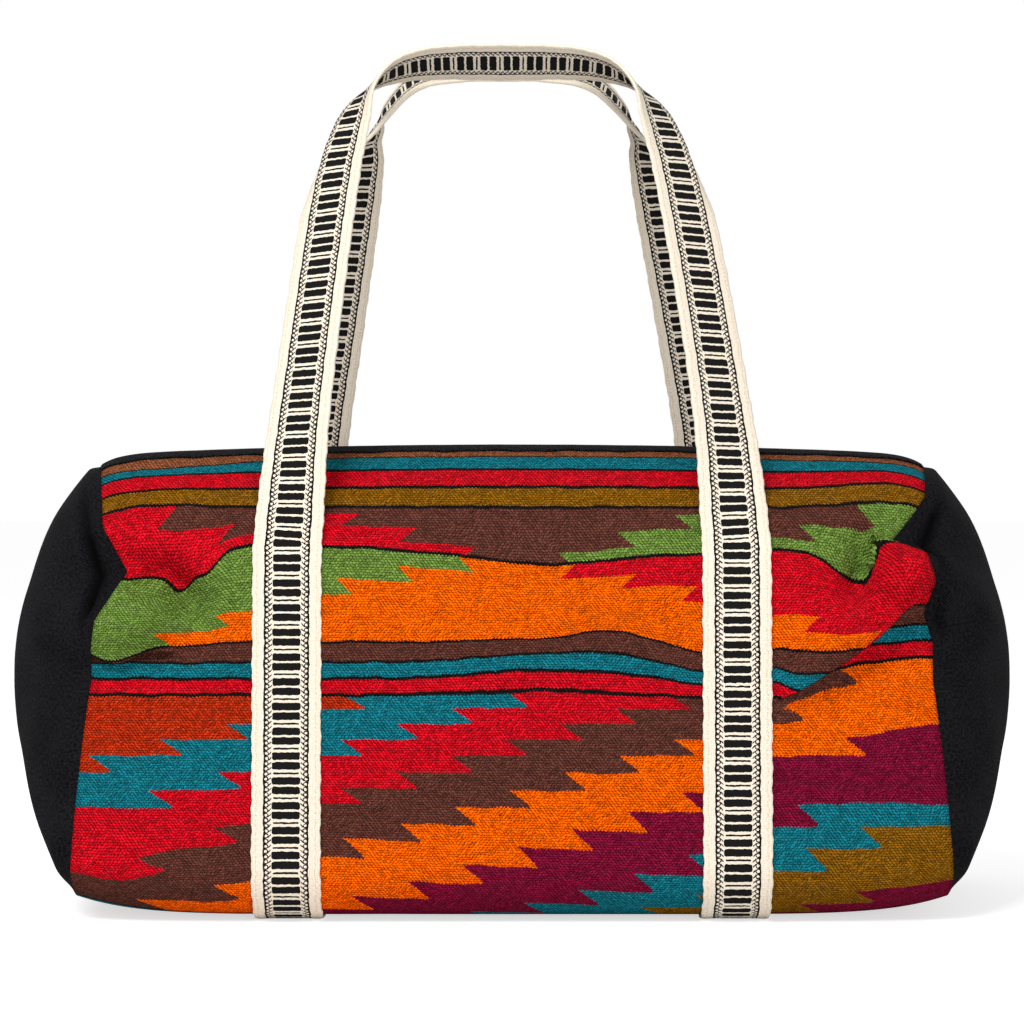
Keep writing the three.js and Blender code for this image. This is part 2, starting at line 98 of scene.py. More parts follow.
class Wire:
    """A number on a node link. Its operators add Math nodes to the same tree."""

    def __init__(self, tree, socket):
        self.tree = tree
        self.socket = socket

    def math(self, operation, *others):
        node = add_node(self.tree, "Math")
        node.operation = operation
        for socket, value in zip(node.inputs, (self, *others)):
            plug(self.tree, value, socket)
        return Wire(self.tree, node.outputs[0])

    def __add__(self, other):
        return self.math("ADD", other)

    def __sub__(self, other):
        return self.math("SUBTRACT", other)

    def __mul__(self, other):
        return self.math("MULTIPLY", other)

    def __truediv__(self, other):
        return self.math("DIVIDE", other)

    def __neg__(self):
        return self * -1

    def __abs__(self):
        return self.math("ABSOLUTE")

    def over(self, edge):
        return self.math("GREATER_THAN", edge)

    def under(self, edge):
        return self.math("LESS_THAN", edge)

    def rise(self, low, high):
        """0 below low, 1 above high, smooth between."""
        node = add_node(self.tree, "MapRange", Value=self, From_Min=low, From_Max=high)
        node.interpolation_type = "SMOOTHSTEP"
        return Wire(self.tree, node.outputs["Result"])

    def within(self, low, high):
        return self.over(low) * self.under(high)

    def wave(self, length):
        """A sine of this wavelength, from 0 to 1."""
        return (self * (2 * math.pi / length)).math("SINE") * 0.5 + 0.5


print("a wire also knows:", [name for name in vars(Wire) if not name.startswith("_")])

# %% Colours, bands and noise for the finishes
def paint(red, green, blue):
    """A colour given as it looks on a screen, 0 to 255, as the linear colour that nodes use."""
    shades = [channel / 255 for channel in (red, green, blue)]
    linear = [s / 12.92 if s <= 0.04045 else ((s + 0.055) / 1.055) ** 2.4 for s in shades]
    return (*linear, 1.0)


def mixed(share, first, second, blend="MIX", tree=None):
    """The first colour where share is 0, the second where it is 1."""
    tree = tree or share.tree
    node = add_node(tree, "Mix")
    node.data_type = "RGBA"
    node.blend_type = blend
    factor, colour_a, colour_b, result = 0, 6, 7, 2
    plug(tree, share, node.inputs[factor])
    plug(tree, first, node.inputs[colour_a])
    plug(tree, second, node.inputs[colour_b])
    return Wire(tree, node.outputs[result])


def bands(value, start, end, stops):
    """Flat bands of colour along value, each from its own starting number."""
    node = add_node(value.tree, "ValToRGB", Fac=(value - start) / (end - start))
    node.color_ramp.interpolation = "CONSTANT"
    elements = node.color_ramp.elements
    while len(elements) < len(stops):
        elements.new(1.0)
    for element, (place, colour) in zip(elements, stops):
        element.position = (place - start) / (end - start)
        element.color = colour
    return Wire(value.tree, node.outputs["Color"])


def noise(place, scale, detail=2.0):
    node = add_node(place.tree, "TexNoise", Vector=place, Scale=scale, Detail=detail)
    return Wire(place.tree, node.outputs["Fac"])


def shader_inputs(material):
    return material.node_tree.nodes["Principled BSDF"].inputs


def new_finish(name, **settings):
    """A new material. Each setting is written on the shader's socket of that name."""
    material = bpy.data.materials.new(name)
    material.use_nodes = True
    for socket, value in settings.items():
        shader_inputs(material)[socket.replace("_", " ")].default_value = value
    return material


def on_sheet(tree, map_name):
    """Wires for the place on a sheet that a UV map holds, and for its two lengths."""
    node = add_node(tree, "UVMap")
    node.uv_map = map_name
    place = Wire(tree, node.outputs["UV"])
    parts = add_node(tree, "SeparateXYZ", Vector=place)
    return place, Wire(tree, parts.outputs["X"]), Wire(tree, parts.outputs["Y"])


def finish_on(name, **settings):
    """A new finish, with the place on its sheet."""
    material = new_finish(name, **settings)
    return material, *on_sheet(material.node_tree, "lengths")


def coat(material, colour, height, depth):
    """Wires a colour and a bump of this depth in millimetres into the shader."""
    tree = material.node_tree
    bump = add_node(tree, "Bump", Strength=1.0, Distance=depth * MM, Height=height)
    plug(tree, colour, shader_inputs(material)["Base Color"])
    plug(tree, Wire(tree, bump.outputs["Normal"]), shader_inputs(material)["Normal"])
    return material


print("a screen's middle grey, linear:", round(paint(128, 128, 128)[0], 3))

# %% [markdown]
# ## The studio
# The picture has a plain white ground and soft, even light from ahead and a little from the left. A
# white world lights everything evenly, and only rays from the camera, or mirrored ones, see it at full
# white. A large lamp above gives the folds their shade, and a low one fills the front. The floor could be
# left out, but then the bag would float: it is white paint that still takes a shadow.

# %% World and lamps
scene.view_settings.view_transform = "Standard"
AMBIENT = 0.42
world = bpy.data.worlds.new("studio")
scene.world = world
world.use_nodes = True
studio = world.node_tree
path = add_node(studio, "LightPath")
seen = Wire(studio, path.outputs["Is Camera Ray"])
for ray in ("Is Glossy Ray", "Is Transmission Ray"):
    seen = seen.math("MAXIMUM", Wire(studio, path.outputs[ray]))
sky = studio.nodes["Background"]
sky.inputs["Color"].default_value = (1, 1, 1, 1)
plug(studio, seen * (1 - AMBIENT) + AMBIENT, sky.inputs["Strength"])


def add_lamp(name, place, aim, size, power):
    lamp = bpy.data.objects.new(name, bpy.data.lights.new(name, "AREA"))
    lamp.data.size = size
    lamp.data.energy = power
    lamp.location = place
    lamp.rotation_euler = (Vector(aim) - Vector(place)).to_track_quat("-Z", "Y").to_euler()
    scene.collection.objects.link(lamp)


add_lamp("key_lamp", place=(-0.9, -1.5, 1.9), aim=(0, 0, 0.2), size=1.2, power=37)
add_lamp("low_lamp", place=(0.7, -2.3, 0.2), aim=(0, 0, 0.35), size=1.2, power=28)

# %% Floor
FLOOR_REACH = 60
FLOOR_GLOW = 0.62
floor_mesh = bpy.data.meshes.new("floor")
corners = [(-1, -1), (1, -1), (1, 1), (-1, 1)]
floor_mesh.from_pydata([(x * FLOOR_REACH, y * FLOOR_REACH, 0) for x, y in corners], [], [(0, 1, 2, 3)])
floor = bpy.data.objects.new("floor", floor_mesh)
scene.collection.objects.link(floor)
white = new_finish("floor_white", Base_Color=(0.86, 0.86, 0.86, 1), Roughness=1.0, Specular_IOR_Level=0.0,
                   Emission_Color=(1, 1, 1, 1))
tree = white.node_tree
glow = Wire(tree, add_node(tree, "LightPath").outputs["Is Camera Ray"]) * FLOOR_GLOW
plug(tree, glow, shader_inputs(white)["Emission Strength"])
floor_mesh.materials.append(white)
print("the floor reaches", FLOOR_REACH, "metres each way")

# %% [markdown]
# ## The bag's section
# Cut across, the bag is a loaf: a flat base, tight lower corners, walls that lean in a little, and round
# shoulders up to the zip. Every sheet on the body follows that one outline, so it is written once, as a
# function of the length of cloth measured down from the zip. All lengths are in millimetres here, as a
# bag maker would measure them, and turn into metres when a mesh is made.

# %% Sizes of the body, some of them read from the frame
def in_mm(corner):
    return np.array(corner) / MM


wrap_low, wrap_high = (in_mm(corner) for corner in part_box("woven_wrap"))
strip_high = in_mm(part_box("front_top_strip")[1])
panel_high = in_mm(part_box("right_end_panel")[1])
HALF_LENGTH = 231.0
BASE_FLARE = wrap_high[0] - HALF_LENGTH
TOP_FLARE = strip_high[0] - HALF_LENGTH
HALF_DEPTH = 118.0
CREST = strip_high[2]
FLOOR = wrap_low[2]
LOWER_RADIUS = 30.0
CORNER_ROUND = 3.0
BASE_SPREAD = 1.5
FLARE_CURVE = 1.6
UPPER_RADIUS = 80.0
LEAN = math.radians(3)
SIDE_TUCK = 10.0
TOP_SAG = 5.5
TOP_TUCK = 5.5
STRAP_X = 122.8
STRAP_WIDTH = 38.0
STRAP = 2.2
CLOTH = 3.0
CANVAS = 1.6
TAPE = 1.0
GAP = 0.3
ZIP_DEPTH = 14.0
EDGE_DROP = 2.6
END_BULGE = panel_high[0] - HALF_LENGTH

lower_arc = (HALF_DEPTH - LOWER_RADIUS, FLOOR + LOWER_RADIUS)
upper_height = CREST - UPPER_RADIUS
arc_rise = (lower_arc[1] - upper_height) * math.sin(LEAN)
upper_depth = lower_arc[0] + (LOWER_RADIUS - UPPER_RADIUS + arc_rise) / math.cos(LEAN)
upper_arc = (upper_depth, upper_height)
edge_angle = math.asin(1 - EDGE_DROP / UPPER_RADIUS)
middle_height = (FLOOR + CREST) / 2
valley_height = CREST - ZIP_DEPTH + TAPE / 2 + GAP + CANVAS
wall_drop = upper_height - lower_arc[1] + (UPPER_RADIUS - LOWER_RADIUS) * math.sin(LEAN)
wall_length = wall_drop / math.cos(LEAN)
shoulder_end = UPPER_RADIUS * (edge_angle - LEAN)
wall_end = shoulder_end + wall_length
corner_end = wall_end + LOWER_RADIUS * (LEAN + math.pi / 2)
half_girth = corner_end + lower_arc[0]
print("cloth from the zip to the middle of the base:", round(half_girth, 1), "mm")

# %% The outline as a function of the length of cloth from the zip
def smooth(t):
    held = np.clip(t, 0, 1)
    return held * held * (3 - 2 * held)


def section(length):
    """Depth, height and outward normal of the section at each length of cloth from the zip."""
    shoulder = edge_angle - length / UPPER_RADIUS
    corner = LEAN - (length - wall_end) / LOWER_RADIUS
    angle = np.where(length < shoulder_end, shoulder, np.where(length < wall_end, LEAN, corner))
    angle = np.maximum(angle, -math.pi / 2)
    out = np.stack([np.cos(angle), np.sin(angle)])
    on_top = length < wall_end
    centre = np.where(on_top, upper_arc[0], lower_arc[0]), np.where(on_top, upper_arc[1], lower_arc[1])
    radius = np.where(on_top, UPPER_RADIUS, LOWER_RADIUS)
    down_wall = np.clip(length - shoulder_end, 0, wall_length) * on_top
    along_base = np.maximum(length - corner_end, 0)
    depth = centre[0] + radius * out[0] + down_wall * math.sin(LEAN) - along_base
    height = centre[1] + radius * out[1] - down_wall * math.cos(LEAN)
    return depth, height, out[0], out[1]


def half_length_at(height):
    offset = (height - middle_height) / (CREST - middle_height)
    above = TOP_FLARE * offset**2
    below = (BASE_FLARE + BASE_SPREAD) * (1 - (1 - np.minimum(1, -offset)) ** FLARE_CURVE)
    rounded = CORNER_ROUND * np.clip(1 - (height - FLOOR) / LOWER_RADIUS, 0, 1) ** 2
    return HALF_LENGTH + np.where(offset > 0, np.minimum(TOP_FLARE, above), below) - rounded


for name, at in (("top edge", 0.0), ("shoulder", shoulder_end), ("base", corner_end)):
    print(name, [round(float(number), 1) for number in section(np.array(at))])

# %% [markdown]
# ## Slack and folds
# The cloth is slack where the end seams draw it in. On the real bag you can read the slack in the
# pattern: stripes that were woven straight now dip and climb, and at two places a fold of the front
# lies over the stripes below it. A cloth simulation would fold somewhere else each time, so the folds are
# placed one by one: soft hills and valleys on the wall, and slides that move the pattern along it.

# %% Hills, valleys and drawn-in seams
def bell(distance, before, after):
    """1 at no distance, fading over its own reach on each side."""
    return np.exp(-((distance / np.where(distance < 0, before, after)) ** 2))


# Along the bag, height below the crest, turn in degrees, reach along and across, height
FRONT_FOLDS = [
    (-195, 78, -24, 34, 13, -17),
    (-219, 98, 12, 34, 15, 9),
    (-155, 76, 40, 34, 16, 5),
    (-203, 118, 8, 34, 11, -6),
    (217, 77, 40, 24, 17, 9),
    (200, 61, 52, 26, 14, -8),
    (185, 99, 38, 44, 15, 7),
    (195, 120, 38, 44, 13, -7),
    (53, 86, 20, 52, 26, 4),
    (-184, 80, -54, 24, 8, -9),
    (-204, 66, 20, 10, 4, -4),
    (-199, 92, 0, 13, 14, 7),
    (214, 69, 0, 15, 14, 13),
    (192, 67, 70, 16, 6, -10),
    (203, 86, -27, 18, 7, -10),
]
BACK_FOLDS = [
    (-201, 92, 20, 40, 16, -8),
    (-197, 122, 14, 44, 18, 5),
    (199, 84, -28, 40, 15, -9),
    (203, 112, -18, 42, 18, 6),
    (21, 96, -8, 56, 24, 4),
]
# The end, height below the crest, reach above and below, and the pull
SEAM_PULLS = [
    (-1, 69, 28, 28, 12),
    (-1, 69, 150, 45, 8),
    (1, 51, 30, 8, 17),
    (1, 51, 75, 8, 6),
    (1, 57, 3, 18, 5),
    (1, 93, 16, 16, 5),
]


def beside_straps(x):
    """0 under a strap, where the cloth is sewn flat, and 1 on the free cloth."""
    return smooth((np.abs(np.abs(x) - STRAP_X) - STRAP_WIDTH / 2 - 4) / 18)


def fold_height(x, height, side):
    total = np.zeros(np.broadcast(x, height).shape)
    for middle, below, turn, along, across, lift in FRONT_FOLDS if side < 0 else BACK_FOLDS:
        dx = x - middle
        dz = height - (CREST - below)
        cosine = math.cos(math.radians(turn))
        sine = math.sin(math.radians(turn))
        on = (dx * cosine + dz * sine) / along
        off = (dz * cosine - dx * sine) / across
        total = total + lift * np.exp(-on * on - off * off)
    return total * beside_straps(x)


def seam_pull(share, height, side):
    total = np.zeros(np.broadcast(share, height).shape)
    if side > 0:
        return total
    for end, below, above_reach, below_reach, pull in SEAM_PULLS:
        above = height - (CREST - below)
        tent = np.clip(1 - np.abs(above) / np.where(above > 0, above_reach, below_reach), 0, 1)
        total = total + end * pull * tent * (end * share > 0)
    return total * np.abs(share) ** 6


def on_body(share, length, side, extra=0.0, drawn=1.0):
    """Points of the body's skin at shares of the half length, -1 to 1, and lengths from the zip."""
    depth, height, out_depth, out_height = section(length)
    reach = np.abs(share)
    topward = smooth(out_height)
    wallward = smooth(out_depth)
    top_drop = TOP_SAG * reach**2 + TOP_TUCK * reach**24
    tuck = top_drop * topward + SIDE_TUCK * reach**8 * (1 - topward)
    folds = fold_height(share * HALF_LENGTH, height, side) + extra
    out = folds * wallward - tuck
    x = share * half_length_at(height) - drawn * seam_pull(share, height, side) * wallward
    y = side * (depth + out_depth * out)
    return np.stack(np.broadcast_arrays(x, y, height + out_height * out), -1)


print("left seam at its deepest:", on_body(np.array(-1.0), np.array(98.0), -1).round(1))

# %% Slides of the pattern
# Along the bag, length from the zip, the slide, and its reach to the left, right, up and down
SLIDES = [
    (20, 85, 6.5, 42, 56, 18, 30),
    (-98, 85, -3.5, 40, 40, 16, 24),
    (146, 85, -2, 26, 26, 14, 24),
    (53, 134, -5.5, 24, 24, 14, 14),
    (108, 134, 6.5, 22, 45, 25, 25),
    (15, 150, -5, 45, 45, 16, 16),
    (-143, 85, -3.5, 10, 25, 14, 24),
    (-184, 86, 9, 8, 9, 13, 24),
    (-205, 12, 8, 45, 60, 14, 10),
    (-200, 57, -4, 40, 40, 14, 14),
    (192, 86, 17, 20, 6, 13, 22),
    (208, 90, -9, 9, 22, 16, 16),
    (215, 50, -9, 40, 40, 34, 22),
    (-215, 252, 10, 40, 24, 12, 16),
    (180, 266, 4, 60, 60, 18, 20),
    (235, 186, -7, 32, 20, 12, 14),
    (185, 222, -3.5, 45, 60, 10, 7),
]
# Left of this place along the bag, the pattern about this length from the zip sags
LEFT_SAG = 11.5
SAG_FROM = -153
SAG_LINE = 86
# Rows of the lower wall climb to the left, between two places and from this length down
SKEW = 0.055
SKEW_SPAN = (-105, 80)
SKEW_ENDS = (-170, 145)
SKEW_FROM = 190


def pattern_slide(x, v):
    """How far the pattern slides down the front, with the lower wall's rows a little skewed."""
    slide = np.zeros(x.shape)
    for at_x, at_v, amount, left, right, up, down in SLIDES:
        slide += amount * bell(x - at_x, left, right) * bell(v - at_v, up, down)
    slide += LEFT_SAG * smooth((SAG_FROM - x) / 16) * bell(v - SAG_LINE, 14, 34)
    between_ends = smooth((x - SKEW_ENDS[0]) / 50) * smooth((SKEW_ENDS[1] - x) / 40)
    return slide + SKEW * np.clip(x, *SKEW_SPAN) * smooth((v - SKEW_FROM) / 70) * between_ends


print("slides at three places:", pattern_slide(np.array([-184, 20, 192]), SAG_LINE).round(1))

# %% The two overlapping folds
# A fold hangs down, turns under at its edge, hides some cloth and comes out again below
LEFT_X = -217.0
LEFT_FOLD = 136.0
LEFT_DROP = 8.7
LEFT_HIDDEN = 8.0
LEFT_LIFT = 6.0
RIGHT_X = 145.0
RIGHT_FOLD = 165.0
RIGHT_HIDDEN = 22.0
RIGHT_SAG = 9.0
SAG_REACH = 8.0
SAG_LOSS = 0.12
EDGE_SLOPE = 0.45
EDGE_BEND = 0.0028
GROW_REACH = 30.0
RIGHT_LIP = 4.0
RIGHT_VALLEY = 3.0
TURN_UNDER = 5.0
STRIPES_END = 164.0


def right_sag(x):
    """How far the right fold hangs down over the stripes."""
    past = np.maximum(x - RIGHT_X, 0)
    return np.maximum(RIGHT_SAG * (1 - np.exp(-past / SAG_REACH)) - SAG_LOSS * past, 0)


def right_edge(x):
    """The length from the zip at which the right fold turns under."""
    past = np.maximum(x - RIGHT_X, 0)
    return RIGHT_FOLD - EDGE_SLOPE * past - EDGE_BEND * past**2 - right_sag(x)


def left_overlap(x, v, sewn):
    """The left fold's slide and lift, and how much of each place is turned under."""
    droop = bell(x - LEFT_X, 18, 17)
    turned = np.clip((v - LEFT_FOLD) / LEFT_HIDDEN, 0, 1)
    above = np.minimum(v - LEFT_FOLD, 0)
    under = droop * np.sin(np.pi * turned)
    tuck = LEFT_DROP * droop * (1 - turned) * bell(above, 45, 1) - TURN_UNDER * under * sewn
    lift = LEFT_LIFT * droop * (1 - turned) * bell(above, 18, 1) * sewn
    return tuck, lift * beside_straps(x), under


def right_overlap(x, v, sewn):
    """The same of the right fold, which grows from the strap to the seam."""
    past = np.maximum(x - RIGHT_X, 0)
    grown = 1 - np.exp(-past / GROW_REACH)
    hidden = RIGHT_HIDDEN * grown
    edge = right_edge(x)
    turned = np.clip((v - edge) / (hidden + 1), 0, 1)
    above = np.minimum(v - edge, 0)
    under = grown * np.sin(np.pi * turned)
    tuck = right_sag(x) * (1 - turned) * bell(above, 24, 1) - TURN_UNDER * under * sewn
    tuck -= hidden * turned * bell(np.maximum(v - STRIPES_END, 0), 1, 14)
    lip = RIGHT_LIP * (1 + grown) * (1 - turned) * bell(above, 20, 1)
    valley = -RIGHT_VALLEY * grown * turned * bell(np.maximum(v - edge - hidden, 0), 1, 9)
    return tuck, (lip + valley) * smooth((past + 2) / 14) * sewn, under


def overlaps(share, x, v):
    """Slide, lift and turned-under share of both folds, fading where the cloth is sewn to its end."""
    sewn = 1 - np.exp(-((HALF_LENGTH * (1 - np.abs(share)) / 3) ** 2))
    left = left_overlap(x, v, sewn)
    right = right_overlap(share * HALF_LENGTH, v, sewn)
    return [one + other for one, other in zip(left, right)]


at_x = np.array([LEFT_X, 200])
tuck, lift, under = overlaps(at_x / HALF_LENGTH, at_x, np.array([130, 120]))
print("the folds slide by", tuck.round(1), "and lift by", lift.round(1))

# %% The shaded line
# A dark line parts the upper and lower flames, and the right fold's shade makes it wider beside the fold
LINE_TOP = 84.3
LINE_END = 86.2
SHADE_X = 199.0
SHADE_WIDTH = 4.5
SHADE_FADE = 20.0


def shaded_line(x, v):
    """How far the pattern slips to make room for the wider line."""
    wider = SHADE_WIDTH * bell(x - SHADE_X, 5, 7)
    line = LINE_END - LINE_TOP
    past = np.maximum(v - LINE_TOP, 0)
    inside = past * wider / (line + wider)
    below = wider * (1 - smooth((past - line - wider) / SHADE_FADE))
    return -np.minimum(inside, below)


print("slips of the pattern:", shaded_line(np.array([190.0, 199.0]), LINE_END).round(1))

# %% [markdown]
# ## Making a mesh
# A sheet is a grid of points, so one helper turns a grid into a mesh with quads, gives it a UV map that
# holds real lengths in millimetres, and sews it to its body of the frame. The UV map is what lets a weave
# or a stripe bend with the cloth.

# %% Grid pieces
def lay_lengths(mesh, name, lengths):
    """A UV map that holds two lengths in millimetres for each point."""
    corner = np.empty(len(mesh.loops), int)
    mesh.loops.foreach_get("vertex_index", corner)
    layer = mesh.uv_layers.new(name=name)
    layer.data.foreach_set("uv", lengths.reshape(-1, 2)[corner].astype(np.float32).ravel())


def piece_from(name, points, faces, lengths, material, node, flip=True):
    """A mesh on the bag in place of a packed node. Its faces are turned over where flip is true."""
    mesh = bpy.data.meshes.new(name)
    faces = [face[::-1] for face in faces] if flip else faces
    mesh.from_pydata((points.reshape(-1, 3) * MM).tolist(), [], faces)
    lay_lengths(mesh, "lengths", lengths)
    mesh.shade_smooth()
    mesh.materials.append(material)
    piece = bpy.data.objects.new(name, mesh)
    scene.collection.objects.link(piece)
    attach(piece, "bag")
    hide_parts(node)
    return piece


def grid_faces(rows, columns, closed=False):
    """Quads of a grid. A closed grid joins its last column to its first."""
    row = np.arange(rows - 1)[:, None]
    column = np.arange(columns if closed else columns - 1)[None, :]
    following = (column + 1) % columns
    quads = [row * columns + column, row * columns + following]
    quads += [(row + 1) * columns + following, (row + 1) * columns + column]
    return np.stack(np.broadcast_arrays(*quads), -1).reshape(-1, 4).tolist()


def thicken(piece, thickness):
    solid = piece.modifiers.new("thickness", "SOLIDIFY")
    solid.thickness = thickness * MM
    solid.offset = -1
    return piece


def area_of(piece):
    return sum(face.area for face in piece.data.polygons)


print("faces of a 3 by 4 grid:", len(grid_faces(3, 4)))

# %% [markdown]
# ## The woven pattern
# The cloth is a flat-woven rug cloth: thick weft rows packed over a hidden warp. Its stripes and stepped
# flames are a traditional layout of plain colour fields. An image could be painted on, but a formula keeps
# every edge sharp at any distance: bands for the stripes, and a staircase for the flames, because in such
# weaving a slanted edge is a row of steps.

# %% Yarn colours
RED = paint(203, 15, 31)
ORANGE = paint(248, 97, 0)
TEAL = paint(20, 113, 127)
OLIVE = paint(132, 87, 14)
BROWN = paint(94, 53, 44)
GREEN = paint(105, 135, 58)
PURPLE = paint(124, 17, 50)
RUST = paint(181, 46, 16)
TAN = paint(140, 82, 52)
INK = paint(25, 22, 22)


def lined(*stripes):
    """Stripes with a dark line before each: the line's start, the stripe's start and its yarn."""
    return [stop for line, start, yarn in stripes for stop in ((line, INK), (start, yarn))]


# All in millimetres from the zip
TOP_STRIPES = [(0, TAN), *lined((11.9, 13.4, TEAL), (26.6, 28.6, RED), (41.8, 44.2, OLIVE)), (56.4, INK)]
LOW_STRIPES = [*lined((130, 135.0, BROWN), (144.3, 145.7, TEAL), (153.0, 154.8, RED)), (162.0, INK)]
BASE_STRIPES = lined((300, 302, TEAL), (314, 316, RED), (329, 331, OLIVE), (343, 345, BROWN))
print(len(TOP_STRIPES) + len(LOW_STRIPES), "bands on a wall and", len(BASE_STRIPES), "on half the base")

# %% Stripes and flames
# The flames stand about a line a little right of the bag's middle, and change step behind each strap
FLAME_MIDDLE = 2.7
BEHIND_STRAP = 126
# Length from the zip of the first step, height of a step, where its edge starts along the bag, and the
# stride from step to step and slant within a step, both along the bag
INNER_FLAME = (62.5, 8.63, 87, -32, 9.5)
OUTER_FLAME = (60.4, 8.8, 188.5, -34, 9.5)
LOWER_FLAME = (LINE_END, 7.9, 32, 33.3, -9)
# Lengths from the zip at which the upper flames, the lower stripes and the base's stripes begin
FLAMES_TOP = 58.4
LOW_TOP = 133.6
BASE_TOP = 300
# Where each slanting band of the lower wall gives way to the next, along the bag; the row in which that
# step begins; and the row from which the next colour fills the width
FLAME_EDGES = [
    (-91, 0, 5),
    (-3, 0, 7),
    (86, 0, 10),
    (177.5, 0, 99),
    (271, 3, 99),
    (364, 7, 99),
    (428, 8, 99),
    (515, 11, 99),
]
# One purple step beside the right strap is longer than the rest
LONG_STEP = (245, 271)


def stepped_edge(v, top, height, start, stride, slant):
    """Where a flame's edge is along the bag: a stride at each step, and a slant within it."""
    step = (v - top) / height
    return step.math("FRACT") * slant + step.math("FLOOR") * stride + start


def upper_flames(x, v, rightward):
    """Brown steps on green and red, above the line that parts the flames."""
    apart = abs(x)
    inner = stepped_edge(v, *INNER_FLAME)
    outer = stepped_edge(v.math("MAXIMUM", OUTER_FLAME[0]), *OUTER_FLAME)
    flank = apart.over(inner) * apart.under(BEHIND_STRAP) + apart.over(outer) * apart.over(BEHIND_STRAP)
    return mixed(flank, BROWN, mixed(rightward, RED, GREEN))


def lower_flames(x, v, rightward):
    """The same steps the other way up, in orange."""
    return mixed(abs(x).over(stepped_edge(v, *LOWER_FLAME)), ORANGE, mixed(rightward, GREEN, RED))


def wall_flames(x, v):
    """Broad slanting bands of the lower wall, each row of steps a little taller than the last."""
    row = (((v - 163) * 0.688 + 57.8).math("SQRT") - 7.6) / 0.344
    spread = (-x - 60).math("MAXIMUM", 0.0)
    tongue = (row.math("FRACT") * 1.15).math("MINIMUM", 1.0) * 11
    drift = x + spread * spread * (row * 0.00006 + 0.0005) + row.math("FLOOR") * 29.8 - tongue
    band = row * 0 + 0.5
    for edge, first, last in FLAME_EDGES:
        band = band + (drift.over(edge) * row.over(first)).math("MAXIMUM", row.over(last))
    band = band + drift.within(*LONG_STEP) * row.within(4, 5)
    shades = [RUST, TEAL, RED, BROWN, ORANGE, PURPLE, TEAL, OLIVE, PURPLE]
    return bands(band, 0, len(shades), list(enumerate(shades)))


def field(x, v):
    """The colour of the cloth at a place along the bag and a length from the zip."""
    rightward = x.over(FLAME_MIDDLE)
    flame_x = x - FLAME_MIDDLE
    colour = mixed(v.over(FLAMES_TOP), bands(v, 0, 60, TOP_STRIPES), upper_flames(flame_x, v, rightward))
    colour = mixed(v.over(LINE_TOP), colour, INK)
    colour = mixed(v.over(LINE_END), colour, lower_flames(flame_x, v, rightward))
    colour = mixed(v.over(LOW_TOP), colour, bands(v, 130, 170, LOW_STRIPES))
    colour = mixed(v.over(STRIPES_END), colour, wall_flames(x, v))
    skew = (-x - 100).math("MAXIMUM", 0.0) * 0.1
    return mixed((v + skew).over(BASE_TOP), colour, bands(v + skew, BASE_TOP, 400, BASE_STRIPES))


print("the steps are", INNER_FLAME[1], OUTER_FLAME[1], "and", LOWER_FLAME[1], "mm high")

# %% Stitches, and the whole cloth
STITCH = 2.0
STITCH_ROW = 1.35


def stitches(tree):
    """Staggered ovals of yarn: how high each point of a stitch is, and a chance shade per stitch."""
    place, x, v = on_sheet(tree, "rows")
    wobble = noise(place, 0.45) - 0.5
    row = v / STITCH_ROW + wobble * 1.2
    column = x / STITCH + wobble * 1.4
    up = row.math("FRACT") - 0.5
    lean = (noise(place, 0.06) - 0.5) * 4.0
    column = column + (row.math("FLOOR") * 0.5).math("FRACT") + up * lean
    over = column.math("FRACT") - 0.5
    height = -(over * over * 3.4 + up * up * 3.0) + 1.0
    cell = add_node(tree, "CombineXYZ", X=column.math("FLOOR"), Y=row.math("FLOOR"))
    chance = add_node(tree, "TexWhiteNoise", Vector=Wire(tree, cell.outputs[0]))
    chance.noise_dimensions = "2D"
    return height, Wire(tree, chance.outputs["Value"])


def woven_cloth():
    material, place, x, v = finish_on("woven_cloth", Roughness=0.95, Specular_IOR_Level=0.03)
    fray = noise(place, 0.5) - 0.5
    scallop = (x * (2 * math.pi / STITCH) + fray * 5).math("COSINE") * (fray * 0.9 + 0.3)
    wander = (noise(place, 0.07) - 0.5) * 3.0
    colour = field(x + fray * 1.6, v + scallop + wander)
    tree = material.node_tree
    height, chance = stitches(tree)
    fibre = noise(place, 2.6, 4.0)
    # Painted shade: each stitch is darker where it is low, so the gaps between stitches show as dark dots.
    tone = height.rise(0.0, 0.7) * 0.86 + 0.28
    tone = tone * (chance * 0.6 + 0.71)
    tone = tone * (noise(place, 0.12, 3.0) * 0.3 + fibre * 0.6 + 0.6)
    grey = add_node(tree, "CombineColor", Red=tone, Green=tone, Blue=tone)
    colour = mixed(1.0, colour, Wire(tree, grey.outputs[0]), "MULTIPLY", tree)
    return coat(material, colour, height * 0.8 + fibre * 0.5, 0.6)


cloth_finish = woven_cloth()
print("nodes in the woven cloth:", len(cloth_finish.node_tree.nodes))

# %% The wrap
def wrap_shares():
    """Columns along the bag, close together where the cloth is folded."""
    inner = (STRAP_X - STRAP_WIDTH / 2) / HALF_LENGTH
    outer = (STRAP_X + STRAP_WIDTH / 2) / HALF_LENGTH
    half = np.concatenate([
        np.linspace(0, inner, 22)[:-1],
        np.linspace(inner, outer, 6)[:-1],
        np.linspace(outer, 1, 44),
    ])
    return np.concatenate([-half[:0:-1], half])


# Rows of stitches are drawn taller where the cloth turns up to the zip
ROW_STRETCH = 22.0
ROW_FADE = 40.0
FOLD_REACH = 125.0


